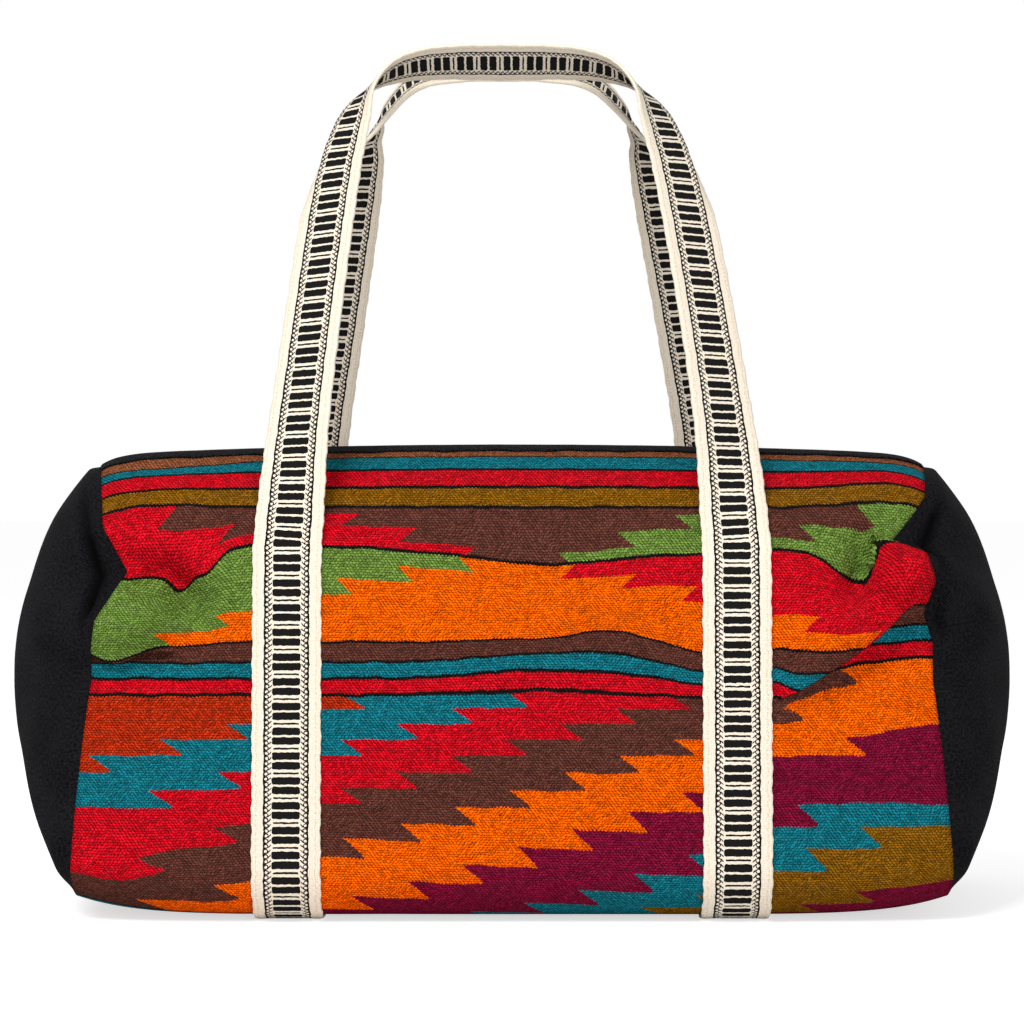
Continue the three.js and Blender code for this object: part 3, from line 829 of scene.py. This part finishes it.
def woven_wrap():
    shares = wrap_shares()
    front = np.concatenate([
        np.linspace(0, LEFT_FOLD, 110),
        np.linspace(LEFT_FOLD, RIGHT_FOLD, 28)[1:],
        np.linspace(RIGHT_FOLD, 300, 100)[1:],
        np.linspace(305, half_girth, 12),
    ])
    back = np.linspace(half_girth, 0, 80)[1:]
    share, v = np.meshgrid(shares, front)
    fold_reach = np.clip(1 - np.abs(v - RIGHT_FOLD) / FOLD_REACH, 0, 1)
    v = v + (right_edge(share * HALF_LENGTH) - RIGHT_FOLD) * fold_reach
    x = on_body(share, v, -1)[..., 0]
    slide = pattern_slide(x, v)
    tuck, lift, under = overlaps(share, x, v)
    front_points = on_body(share, v + slide + tuck, -1, lift)
    front_v = v
    share, v = np.meshgrid(shares, back)
    back_points = on_body(share, v, 1)
    points = np.concatenate([front_points, back_points])
    drawn_v = front_v + shaded_line(front_points[..., 0], front_v)
    lengths = np.stack([points[..., 0], np.concatenate([drawn_v, v])], -1)
    row_v = np.concatenate([front_v + 0.6 * slide + tuck, v])
    row_v = row_v - ROW_STRETCH * (1 - np.exp(-row_v / ROW_FADE))
    rows = np.stack([points[..., 0], row_v], -1)
    faces = grid_faces(*points.shape[:2])
    piece = piece_from("woven_wrap_cloth", points, faces, lengths, cloth_finish,
                       "woven_wrap")
    lay_lengths(piece.data, "rows", rows)
    full = piece.vertex_groups.new(name="full_thickness")
    folded = np.concatenate([under > 0.02, np.zeros(v.shape, bool)]).ravel()
    full.add(np.flatnonzero(~folded).tolist(), 1.0, "REPLACE")
    thicken(piece, CLOTH).modifiers["thickness"].vertex_group = full.name
    return piece


wrap = woven_wrap()
2 * half_girth * MM
print("woven cloth:", round(area_of(wrap), 4), "square metres,", len(wrap.data.polygons), "quads")

# %% [markdown]
# ## Black canvas
# The ends and the strips beside the zip are plain black canvas. Black is hard to light: it needs some
# paler threads and a twill that catches the lamp, or it turns into a hole in the picture. A panel could be
# a scaled sphere, but it has to meet the cloth: it is a dome of rings that ends on the cloth's own seam,
# with a crease where that seam is drawn in, and a shade painted dark along that crease.

# %% Canvas finish
def black_canvas():
    material, place, u, v = finish_on("black_canvas", Roughness=0.9, Specular_IOR_Level=0.05)
    twill = (u + v).wave(1.1)
    thread = noise(place, 0.6, 3.0)
    cloudy = noise(place, 0.03, 4.0)
    tone = twill * 0.3 + thread + cloudy * 0.4
    colour = mixed(tone.rise(0.65, 1.05), paint(2, 2, 3), paint(33, 32, 35))
    lint = noise(place, 0.8, 1.0).rise(0.79, 0.82)
    colour = mixed(lint, colour, paint(120, 116, 112))
    # Painted shade: the canvas is painted near black along the crease, standing in for the shadow in it.
    colour = mixed(on_sheet(place.tree, "crease")[1], colour, paint(1, 1, 1))
    return coat(material, colour, twill * 0.6 + thread * 0.8, 0.35)


canvas_finish = black_canvas()
print("nodes in the canvas:", len(canvas_finish.node_tree.nodes))

# %% End panels
END_FULLNESS = 2.2
SEAM_SWELL = 4.5
CREASE = 0.955
CREASE_WIDTH = 0.016
CREASE_DEPTH = 5.0
CREASE_PULL = 0.42


def rim_points(end, drawn):
    """The end seam all the way round, from the ridge of the front to the ridge of the back."""
    lengths = np.concatenate([np.linspace(0, 300, 90), np.linspace(306, half_girth, 10)])
    ridge = np.linspace(-UPPER_RADIUS * (math.pi / 2 - edge_angle), 0, 6)[:-1]
    down = np.concatenate([ridge, lengths])
    up = down[::-1][1:]
    share = np.full(1, float(end))
    return np.concatenate([on_body(share, down, -1, drawn=drawn), on_body(share, up, 1)])


def step_lengths(points):
    """Distances from each point, or row of points, to the next."""
    return np.linalg.norm(np.diff(points, axis=0), axis=-1)


def panel_rings(end):
    """Rings of points from the pole to the seam, lengths along each spoke, and the groove's depth and
    painted shade.
    """
    rim = rim_points(end, 0.0)
    rim[:, 0] += end * GAP
    drawn_in = rim_points(end, 1.0)[:, 0] + end * GAP - rim[:, 0]
    pole = np.array([end * (HALF_LENGTH + END_BULGE), 0, middle_height])
    over, up = rim[:, 1], rim[:, 2] - pole[2]
    reach = np.hypot(over, up)
    spread = np.concatenate([np.linspace(0, 0.9, 31)[1:], np.linspace(0.9, 1, 21)[1:]])[:, None]
    to_crease = smooth((spread - 0.8) / (CREASE - 0.8))
    to_seam = smooth((spread - CREASE) / (1 - CREASE))
    pulled = drawn_in * (CREASE_PULL * to_crease + (1 - CREASE_PULL) * to_seam)
    fuller = 0.5 + 0.5 * smooth(np.abs(up) / 100)
    turn = 0.91 + 0.045 * smooth((up - 70) / 40)
    swell = SEAM_SWELL * fuller * smooth((spread - 0.45) / 0.35) * smooth((1 - spread) / (1 - turn))
    # How deep each ring lies in the crease: it sinks the groove and sets the shade painted along it.
    crease = bell(spread - CREASE, CREASE_WIDTH, CREASE_WIDTH) * np.clip(np.abs(drawn_in) / 8, 0, 1)
    out = math.sqrt(0.5) * (swell - CREASE_DEPTH * crease)
    x = pole[0] + (rim[:, 0] - pole[0]) * spread**END_FULLNESS + pulled + end * out
    grown = spread * (1 + (HALF_DEPTH / reach - 1) * (1 - spread**2)) + out / reach
    rings = np.stack([x, over * grown, pole[2] + up * grown], -1)
    rings = np.concatenate([np.broadcast_to(pole, (1, *rim.shape)), rings])
    run = np.cumsum(step_lengths(rings), axis=0)
    spokes = np.stack([over, up], -1) / reach[:, None]
    return rings, run[..., None] * spokes, crease


def end_panel(name, end):
    rings, lengths, crease = panel_rings(end)
    count = rings.shape[1]
    points = rings.reshape(-1, 3)[count - 1:]
    lengths = np.concatenate([np.zeros((1, 2)), lengths.reshape(-1, 2)])
    step = np.arange(count)
    cap = np.stack([(step + 1) % count + 1, step + 1, 0 * step], -1)
    quads = np.array(grid_faces(len(rings) - 1, count, closed=True)) + 1
    faces = cap.tolist() + quads.tolist()
    piece = piece_from(name + "_canvas", points, faces, lengths, canvas_finish, name,
                       end > 0)
    # This map holds how much shade is painted along the crease.
    lay_lengths(piece.data, "crease", np.repeat(np.r_[0, crease.ravel()], 2))
    return thicken(piece, CANVAS)


for name, end in (("left_end_panel", -1), ("right_end_panel", 1)):
    panel = end_panel(name, end)

# %% Strips and zip tapes along the top
SIDES = (("front", -1), ("back", 1))
SLIDER_HALF = 9.0
TAPE_EDGE = 24.8
TAPE_LAP = 8.0
STRIP = 1.0
STRIP_RISE = 1.2


def top_sheet(name, node, side, depths, angle, lift, thickness, material):
    """A long sheet beside the zip: rows by depth in its valley, then by angle over the ridge."""
    share = np.linspace(-1, 1, angle.shape[1])[None, :]
    valley = np.repeat(np.array(depths)[:, None], angle.shape[1], 1)
    sink = 1 - smooth((valley - SLIDER_HALF) / (upper_arc[0] - SLIDER_HALF))
    sink = np.concatenate([sink, 0 * angle])
    depth = np.concatenate([valley, upper_arc[0] + UPPER_RADIUS * np.cos(angle)])
    angle = np.concatenate([0 * valley + math.pi / 2, angle])
    out_depth, out_height = np.cos(angle), np.sin(angle)
    height = upper_arc[1] + UPPER_RADIUS * out_height
    reach = np.abs(share)
    drop = TOP_SAG * reach**2 + TOP_TUCK * reach**24
    out = lift - drop * smooth(out_height)
    ridge = height + out_height * out
    z = ridge + (valley_height + lift - ridge) * sink
    x = share * half_length_at(height)
    points = np.stack([x, side * (depth + out_depth * out), z], -1)
    along = np.cumsum(np.r_[0, step_lengths(points).mean(1)])
    lengths = np.stack(np.broadcast_arrays(x, along[:, None]), -1)
    faces = grid_faces(*points.shape[:2])
    piece = piece_from(name, points, faces, lengths, material, node, side < 0)
    2 * half_length_at(CREST) * MM
    print(name, "is cut", round(along[-1], 1), "mm wide")
    return thicken(piece, thickness)


# How far the strips lap the cloth below their fold: most at the left end, least at the right
LAP = 4.5
LAP_CHANGE = 2.5
share = np.linspace(-1, 1, 241)
wander = 0.8 * np.sin(31 * share) + 0.6 * np.sin(73 * share + 1)
lap = LAP + LAP_CHANGE * np.where(share < 0, share**2, -share) + wander
down = np.linspace(0, 1, 14)[:, None]
ridge_angles = math.pi / 2 - down * (math.pi / 2 - edge_angle + lap / UPPER_RADIUS)
depths = np.linspace(TAPE_EDGE - TAPE_LAP, upper_arc[0], 12)[:-1]
raised = np.concatenate([0 * depths[:, None], STRIP_RISE * smooth(down / 0.4)])
for side_name, side in SIDES:
    top_sheet(f"{side_name}_top_strip_canvas", f"{side_name}_top_strip", side, depths, ridge_angles,
              raised, STRIP, canvas_finish)

# %% [markdown]
# ## Zip
# The zip is the one hard thing on the bag. Its tapes are a fine black weave, its teeth are two nylon
# coils, and the slider and its pull are metal. The coils are drawn as real coils, because the light on
# their turns is what makes a zip look like a zip. The stops, slider and pull keep their packed solids.

# %% Zip finishes
def zip_tape():
    material, place, u, v = finish_on("zip_tape", Roughness=0.85, Specular_IOR_Level=0.3)
    rib = v.wave(0.9)
    fuzz = noise(place, 1.5, 3.0)
    colour = mixed(rib * 0.5 + fuzz * 0.5, paint(12, 12, 13), paint(36, 36, 38))
    return coat(material, colour, rib * 0.7 + u.wave(0.7) * 0.3, 0.25)


def zip_coil():
    material, place, *_ = finish_on("zip_coil", Roughness=0.4)
    worn = noise(place, 0.6, 3.0)
    colour = mixed(worn, paint(14, 14, 15), paint(34, 34, 36))
    return coat(material, colour, worn, 0.05)


def zip_metal():
    material = new_finish("zip_metal", Metallic=1.0)
    tree = material.node_tree
    worn = noise(Wire(tree, add_node(tree, "TexCoord").outputs["Object"]), 900.0, 4.0)
    colour = mixed(worn, paint(118, 118, 120), paint(168, 168, 170))
    plug(tree, worn * 0.25 + 0.22, shader_inputs(material)["Roughness"])
    return coat(material, colour, worn, 0.02)


tape_finish = zip_tape()
coil_finish = zip_coil()
metal_finish = zip_metal()
print("zip finishes:", tape_finish.name, coil_finish.name, metal_finish.name)

# %% Tapes, coils, stops, slider and pull
COIL_PITCH = 1.5
COIL_WIRE = 0.42


def unit(vectors):
    return vectors / np.linalg.norm(vectors, axis=1)[:, None]


def tube_faces(rings, count):
    """Quads round a tube, and one face on each end."""
    ends = [list(range(count))[::-1], list(range((rings - 1) * count, rings * count))]
    return grid_faces(rings, count, closed=True) + ends


def coil(name, node):
    low, high = (in_mm(corner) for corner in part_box(node))
    middle = (low + high) / 2
    turns = int((high[0] - low[0] - 2 * COIL_WIRE) / COIL_PITCH)
    per_turn = 10
    angle = np.linspace(0, turns * 2 * math.pi, turns * per_turn + 1)
    wide = (high - low)[1] / 2 - COIL_WIRE
    tall = (high - low)[2] / 2 - COIL_WIRE
    x = low[0] + COIL_WIRE + angle / (2 * math.pi) * COIL_PITCH
    centre = np.stack([x, middle[1] + wide * np.cos(angle), middle[2] + tall * np.sin(angle)], -1)
    tangent = unit(np.gradient(centre, axis=0))
    side = unit(np.cross(tangent, [1.0, 0, 0]))
    other = np.cross(tangent, side)
    around = np.linspace(0, 2 * math.pi, 7)[:-1]
    ring = side[:, None] * np.cos(around)[:, None] + other[:, None] * np.sin(around)[:, None]
    points = centre[:, None] + COIL_WIRE * ring
    lengths = np.stack(np.broadcast_arrays(x[:, None], around), -1)
    faces = tube_faces(len(centre), len(around))
    return piece_from(name, points, faces, lengths, coil_finish, node)


for side_name, side in SIDES:
    depths = np.linspace(0.8, TAPE_EDGE, 14)
    top_sheet(f"{side_name}_zip_tape_weave", f"{side_name}_zip_tape", side, depths, np.empty((0, 121)),
              -CANVAS - GAP, TAPE, tape_finish)
    teeth = coil(f"{side_name}_zip_coil_turns", f"{side_name}_zip_coil")
    print(teeth.name, len(teeth.data.polygons), "faces")

for node in ("left_zip_stop", "right_zip_stop", "zip_slider", "zip_pull"):
    metal_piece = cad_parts[node]
    metal_piece.data.materials.clear()
    metal_piece.data.materials.append(metal_finish)
    edge = metal_piece.modifiers.new("soft_edges", "BEVEL")
    edge.width = 0.18 * MM
    edge.segments = 2
    edge.limit_method = "ANGLE"

# %% [markdown]
# ## Webbing straps
# Each strap is one flat band, woven in cream and black: plain selvedges, a chain of small rings, and a
# ladder of black blocks in the middle. It lies flat on the cloth, leaves it at the shoulder, and twists
# until the grip lies flat in the hand. Sweeping a section along a path gives a band that never stretches,
# and the length along the path drives the pattern.

# %% Webbing finish
# Along the strap: the repeats of the ladder and the chain, and half a block
LADDER = 13.43
CHAIN = 2.79
BLOCK_HALF = 2.05
# From the strap's middle line, with a warmer line inside each selvedge
BLOCK_EDGE = 7.7
RUNG_EDGE = 6.9
CHAIN_MIDDLE = 10.7
BORDER = (11.85, 12.35)
WARM_LINE = 16.2
CREAM = paint(248, 239, 224)
STRAP_BLACK = paint(26, 25, 25)


def ladder(along, off):
    """Two black blocks with round corners and one thin rung in each repeat."""
    place = (along / LADDER).math("FRACT")
    from_block = abs(place - 0.15).math("MINIMUM", abs(place - 0.54)) * LADDER
    corner = (from_block - 1.1).math("MAXIMUM", 0.0)
    block = from_block.under(BLOCK_HALF) * (off + corner * corner).under(BLOCK_EDGE)
    return block.math("MAXIMUM", place.within(0.805, 0.88) * off.under(RUNG_EDGE))


def chain(along, off):
    """A chain of small rings, dashes on its inner side and a dark border on its outer one."""
    link = ((along / CHAIN).math("FRACT") - 0.5) * CHAIN
    ring_off = off - CHAIN_MIDDLE
    ring = (ring_off * ring_off + link * link).math("SQRT")
    rings = ring.within(0.78, 1.38) + ring.over(0.8) * off.within(11.1, 12.0)
    dash = abs(ring_off * 0.9 + link + 1.7).under(0.42) * off.within(8.0, 9.6)
    return rings.math("MAXIMUM", dash).math("MAXIMUM", off.within(*BORDER))


def webbing():
    material, place, s, t = finish_on("webbing", Roughness=0.9, Specular_IOR_Level=0.05)
    fuzz = noise(place, 0.8, 3.0)
    along = s + (noise(place, 0.35) - 0.5) * 1.1
    off = abs(t + (noise(place, 0.6) - 0.5) * 0.8)
    dark = ladder(along, off).math("MAXIMUM", chain(along, off)).math("MINIMUM", 1.0)
    warm = abs(off - WARM_LINE).under(0.4) * fuzz.rise(0.4, 0.6)
    cream = mixed(fuzz.rise(0.25, 0.75), CREAM, paint(236, 221, 198))
    colour = mixed(dark, mixed(warm, cream, paint(226, 202, 172)), STRAP_BLACK)
    weave = s.wave(1.0) * t.wave(1.3)
    return coat(material, colour, weave * 0.6 + dark * 0.4 + fuzz * 0.3, 0.3)


webbing_finish = webbing()
print("nodes in the webbing:", len(webbing_finish.node_tree.nodes))

# %% The route of a handle
HANDLE_RISE = 291.0
HANDLE_SHIFT = -5.0
# Share of the leg spacing, share of the rise, and twist in quarter turns, up to the middle of the grip
FRONT_HANDLE = [
    (1.0, 0.0, 0),
    (0.955, 0.25, 0.26),
    (0.805, 0.74, 0.37),
    (0.742, 0.85, 0.46),
    (0.625, 0.945, 0.78),
    (0.44, 0.99, 0.98),
    (0.0, 1.0, 1.06),
]
BACK_HANDLE = [
    (1.0, 0.0, 0),
    (0.97, 0.21, 0.16),
    (0.85, 0.49, 0.33),
    (0.74, 0.72, 0.46),
    (0.69, 0.81, 0.6),
    (0.64, 0.88, 1.0),
    (0.43, 0.98, 1.1),
    (0.19, 1.0, 1.08),
    (0.0, 1.0, 1.07),
]


def smooth_route(keys, count):
    """Points on a smooth curve through keys, with its speed set by the spacing of the keys."""
    first = 2 * keys[0] - keys[1]
    last = 2 * keys[-1] - keys[-2]
    keys = np.concatenate([[first], keys, [last]])
    gap = np.maximum(step_lengths(keys) ** 0.5, 1e-4)
    at = np.linspace(0, len(keys) - 3, count)
    span = np.minimum(at.astype(int), len(keys) - 4)
    t = (at - span)[:, None]
    p0, p1, p2, p3 = (keys[span + step] for step in range(4))
    d0, d1, d2 = (gap[span + step][:, None] for step in range(3))
    out = ((p1 - p0) / d0 - (p2 - p0) / (d0 + d1) + (p2 - p1) / d1) * d1
    into = ((p2 - p1) / d1 - (p3 - p1) / (d1 + d2) + (p3 - p2) / d2) * d1
    return p1 + out * t + (3 * (p2 - p1) - 2 * out - into) * t**2 + (2 * (p1 - p2) + out + into) * t**3


def handle_lean():
    """The lean at which the two grips meet over the zip."""
    low, high = 0.0, math.radians(60)
    for _ in range(40):
        lean = (low + high) / 2
        start = upper_arc[0] + (UPPER_RADIUS + GAP) * math.cos(lean)
        reach = STRAP_WIDTH / 2 * math.cos(lean) + STRAP * math.sin(lean) + GAP
        if start - HANDLE_RISE * math.sin(lean) > reach:
            low = lean
        else:
            high = lean
    return low


lean = handle_lean()
print("the handles lean in by", round(math.degrees(lean), 2), "degrees")

# %% The path of a strap
def sewn_leg(side, leg):
    """Middle, outward and across vectors from the middle of the base to the shoulder."""
    base = np.linspace(GAP / 2, lower_arc[0], 40)[:-1]
    corner = np.linspace(-math.pi / 2, LEAN, 28)
    shoulder = np.linspace(LEAN, lean, 12)
    wall = np.linspace(0, 1, 72)[1:-1]
    arcs = [
        (0 * base - math.pi / 2, base, lower_arc[1], LOWER_RADIUS),
        (corner, *lower_arc, LOWER_RADIUS),
        (shoulder, *upper_arc, UPPER_RADIUS),
    ]

    def with_wall(base, corner, shoulder):
        straight = corner[-1] + (shoulder[0] - corner[-1]) * wall
        return np.concatenate([base, corner, straight, shoulder])

    depth = with_wall(*(centre + radius * np.cos(angle) for angle, centre, _, radius in arcs))
    height = with_wall(*(centre + radius * np.sin(angle) for angle, _, centre, radius in arcs))
    angle = with_wall(*(arc[0] for arc in arcs))
    outward = np.stack([0 * angle, side * np.cos(angle), np.sin(angle)], -1)
    middle = np.stack([leg * STRAP_X + 0 * depth, side * depth, height], -1) + outward * GAP
    across = np.zeros_like(middle)
    across[:, 0] = -leg
    return middle, outward, across


def free_handle(side):
    up = np.array([0, -side * math.sin(lean), math.cos(lean)])
    front = np.array([0, side * math.cos(lean), math.sin(lean)])
    foot = np.array([0, side * upper_arc[0], upper_arc[1]]) + (UPPER_RADIUS + GAP) * front
    half = np.array(FRONT_HANDLE if side < 0 else BACK_HANDLE, float) * [-1, 1, 1]
    keys = np.concatenate([half, half[-2::-1] * [-1, 1, 1]])
    route = smooth_route(keys, 380)
    middle = foot + np.outer(route[:, 1] * HANDLE_RISE, up)
    middle[:, 0] = route[:, 0] * STRAP_X + HANDLE_SHIFT * route[:, 1] ** 2
    tangent = unit(np.gradient(middle, axis=0))
    twist = (route[:, 2] * math.pi / 2)[:, None]
    inward = np.cross(tangent, front) * -side
    across = unit(inward * np.cos(twist) + front * np.sin(twist))
    outward = np.cross(across, tangent) * -side
    return middle[1:-1], outward[1:-1], across[1:-1]


def strap_path(side):
    left = sewn_leg(side, -1)
    right = [values[::-1] for values in sewn_leg(side, 1)]
    stretches = [left, free_handle(side), right]
    return [np.concatenate(values) for values in zip(*stretches)]


print("points on the path of a strap:", len(strap_path(-1)[0]))

# %% The straps
# Near the grip the front strap's outer selvedge curls over, and the back strap's inner edge hangs slack
CURL = math.radians(70)
CURL_FROM = 0.66
CURL_LINE = 12.5
SLACK_EDGE = 6.6
SLACK_RISE = 0.876
CORD_LINE = 16


def strap_section():
    """Across and height of the band's edge, all the way round, with round selvedges."""
    half = STRAP_WIDTH / 2
    radius = STRAP / 2
    face = np.sin(np.linspace(-1, 1, 15) * math.pi / 2) * (half - 0.2)
    past = ((np.abs(face) - half + radius) / radius).clip(0)
    rounding = np.sqrt(np.clip(1 - past**2, 0, 1))
    top = radius + (radius - 0.25) * rounding + 0.25 * bell(np.abs(face) - CORD_LINE, 2, 2)
    bottom = radius - radius * rounding
    return np.concatenate([face, face[::-1]]), np.concatenate([top, bottom[::-1]])


def strap(name, node, side):
    middle, outward, across = strap_path(side)
    along = np.cumsum(np.r_[0, step_lengths(middle)])
    t, lift = strap_section()
    wavy = 1 + 0.012 * np.sin(along * 0.8) + 0.012 * np.sin(along * 0.31 + 1.0)
    rise = (middle[:, 2] - middle[:, 2].max()) / HANDLE_RISE + 1
    curl = CURL * smooth((rise - CURL_FROM) / 0.2) * smooth((-outward[:, 1] - 0.05) / 0.3) * (side < 0)
    past_chain = np.maximum(-CURL_LINE - t, 0)
    wide = t * wavy[:, None] + past_chain * (1 - np.cos(curl))[:, None]
    high = lift - past_chain * np.sin(curl)[:, None]
    points = middle[:, None] + across[:, None] * wide[..., None] + outward[:, None] * high[..., None]
    slack_edge = SLACK_EDGE * bell(rise - SLACK_RISE, 0.028, 0.025) * (side > 0)
    inner = np.maximum(t, 0) / (STRAP_WIDTH / 2)
    points[..., 0] -= np.sign(middle[:, :1]) * slack_edge[:, None] * inner
    lengths = np.stack(np.broadcast_arrays(along[:, None], t), -1)
    faces = tube_faces(len(middle), len(t))
    piece = piece_from(name, points, faces, lengths, webbing_finish, node, side > 0)
    print(name, "is", round(along[-1]), "mm long,", len(faces), "faces")
    return piece


for side_name, side in SIDES:
    strap(f"{side_name}_strap_webbing", f"{side_name}_strap", side)

# %% [markdown]
# ## Size
# Cloth may stand a little proud of the packed solids.
